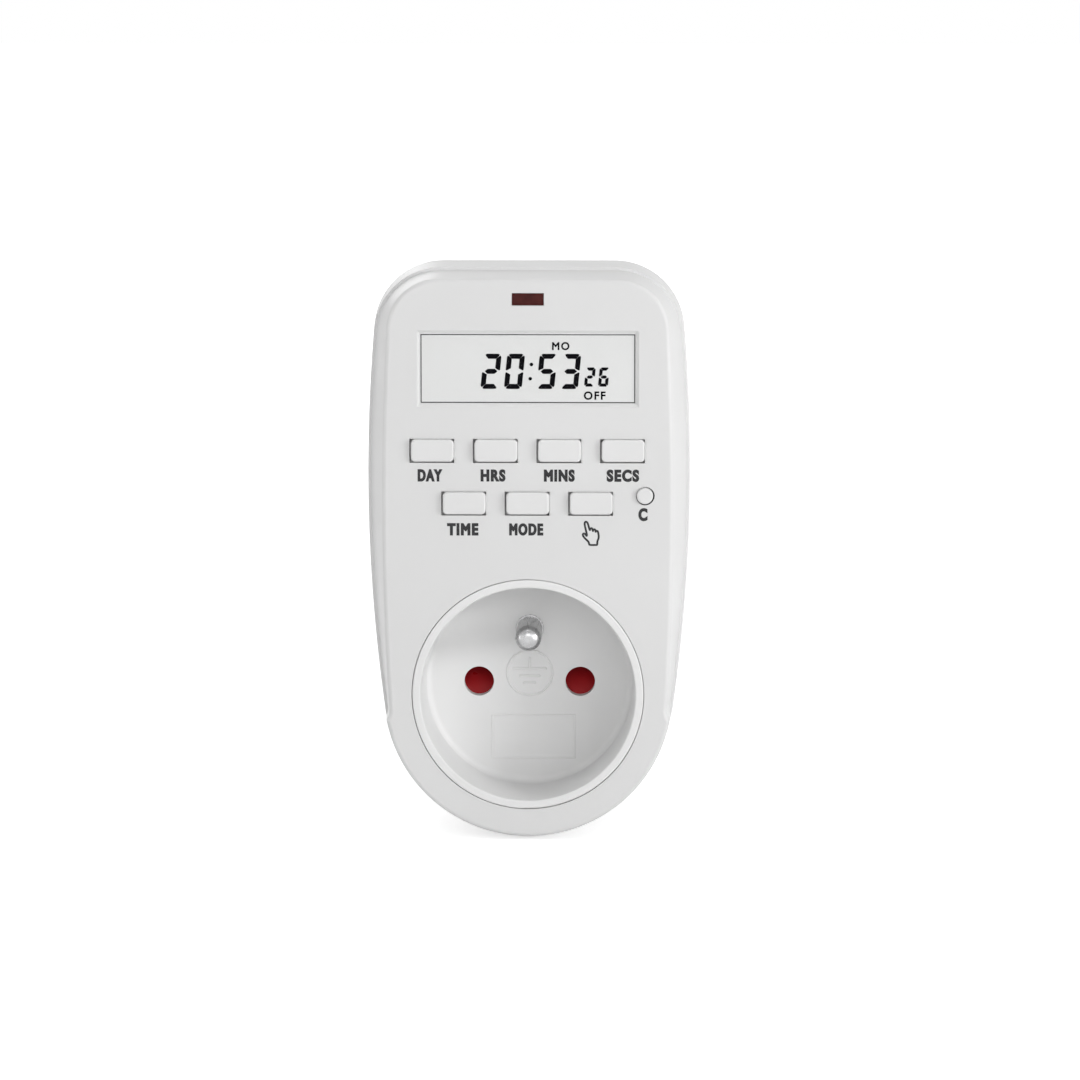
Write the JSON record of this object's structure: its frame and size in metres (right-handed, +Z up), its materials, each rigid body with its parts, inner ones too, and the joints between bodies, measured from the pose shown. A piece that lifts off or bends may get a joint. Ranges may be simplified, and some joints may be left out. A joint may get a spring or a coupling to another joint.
{
  "type": "digital timer switch",
  "caption": "Plug-in digital timer switch with an earthed round socket in front, a clock display, rectangular keys, a reset key and a round mains plug behind.",
  "frame": {"origin": "centre of the plug's end face, on the line between its two pins", "axes": "+Y out of the back along the plug's pins, +Z up to the display, +X to the right as seen from the front; the front faces -Y"},
  "size_m": [0.06, 0.077, 0.1067],
  "materials": {
    "white_plastic": "fine satin moulding",
    "key_plastic": "satin moulding",
    "clear_pane": "clear polished plastic",
    "red_pane": "dark red translucent plastic",
    "steel": "zinc plated",
    "nickel": "nickel plated, satin",
    "brass_strip": "rolled strip",
    "grey_plastic": "matte moulding",
    "red_plastic": "satin moulding",
    "circuit_board": "solder resist",
    "display_glass": "display cell with a grey ground",
    "black_rubber": "matte",
    "black_plastic": "matte moulding",
    "relay_case": "matte moulding",
    "capacitor_yellow": "moulded box",
    "capacitor_blue": "dipped coating",
    "resistor_tan": "lacquer",
    "ribbon_grey": "flexible insulation"
  },
  "bodies": {
    "housing": {"front_cover": "white_plastic", "rear_housing": "white_plastic", "socket_cup": "white_plastic", "display_window": "clear_pane", "indicator_window": "red_pane", "case_screws": "steel", "socket_screws": "steel", "control_board_screws": "steel", "power_board_screws": "steel", "carrier_screws": "steel", "earth_pin": "nickel", "live_plug_pin": "nickel", "neutral_plug_pin": "nickel", "earth_strap": "brass_strip", "earth_clip_frame": "nickel", "earth_receptacle": "brass_strip", "live_inlet_bar": "brass_strip", "neutral_bar": "brass_strip", "live_contact": "brass_strip", "neutral_contact": "brass_strip", "live_outlet_bar": "brass_strip", "contact_carrier": "grey_plastic", "shutter_spring": "steel", "control_board": "circuit_board", "power_board": "circuit_board", "display_panel": "display_glass", "display_frame": "grey_plastic", "contact_strips": "black_rubber", "key_switches": "black_plastic", "indicator_lamp": "red_pane", "controller_chip": "black_plastic", "timing_crystal": "steel", "relay": "relay_case", "film_capacitor": "capacitor_yellow", "smoothing_capacitors": "black_plastic", "backup_cell": "steel", "surge_arrester": "capacitor_blue", "rectifier_diodes": "black_plastic", "bleed_resistor": "resistor_tan", "ribbon_cable": "ribbon_grey"},
    "week_button": {"week_key": "key_plastic", "week_switch_plunger": "black_plastic"},
    "hour_button": {"hour_key": "key_plastic", "hour_switch_plunger": "black_plastic"},
    "minute_button": {"minute_key": "key_plastic", "minute_switch_plunger": "black_plastic"},
    "second_button": {"second_key": "key_plastic", "second_switch_plunger": "black_plastic"},
    "clock_button": {"clock_key": "key_plastic", "clock_switch_plunger": "black_plastic"},
    "program_button": {"program_key": "key_plastic", "program_switch_plunger": "black_plastic"},
    "manual_button": {"manual_key": "key_plastic", "manual_switch_plunger": "black_plastic"},
    "reset_button": {"reset_key": "key_plastic", "reset_switch_plunger": "black_plastic"},
    "shutter_slide_body": {"shutter": "red_plastic"}
  },
  "joints": [
    {"name": "week_press", "type": "slide", "parent": "housing", "child": "week_button", "axis": [0, 1, 0], "range_m": [0, 0.0005], "stiffness_N_per_m": 400, "springref_m": -0.0004},
    {"name": "hour_press", "type": "slide", "parent": "housing", "child": "hour_button", "axis": [0, 1, 0], "range_m": [0, 0.0005], "stiffness_N_per_m": 400, "springref_m": -0.0004},
    {"name": "minute_press", "type": "slide", "parent": "housing", "child": "minute_button", "axis": [0, 1, 0], "range_m": [0, 0.0005], "stiffness_N_per_m": 400, "springref_m": -0.0004},
    {"name": "second_press", "type": "slide", "parent": "housing", "child": "second_button", "axis": [0, 1, 0], "range_m": [0, 0.0005], "stiffness_N_per_m": 400, "springref_m": -0.0004},
    {"name": "clock_press", "type": "slide", "parent": "housing", "child": "clock_button", "axis": [0, 1, 0], "range_m": [0, 0.0005], "stiffness_N_per_m": 400, "springref_m": -0.0004},
    {"name": "program_press", "type": "slide", "parent": "housing", "child": "program_button", "axis": [0, 1, 0], "range_m": [0, 0.0005], "stiffness_N_per_m": 400, "springref_m": -0.0004},
    {"name": "manual_press", "type": "slide", "parent": "housing", "child": "manual_button", "axis": [0, 1, 0], "range_m": [0, 0.0005], "stiffness_N_per_m": 400, "springref_m": -0.0004},
    {"name": "reset_press", "type": "slide", "parent": "housing", "child": "reset_button", "axis": [0, 1, 0], "range_m": [0, 0.0005], "stiffness_N_per_m": 400, "springref_m": -0.0004},
    {"name": "shutter_slide", "type": "slide", "parent": "housing", "child": "shutter_slide_body", "axis": [0, 0, -1], "range_m": [0, 0.006], "stiffness_N_per_m": 60, "springref_m": -0.003, "deforming": ["shutter_spring"]}
  ]
}
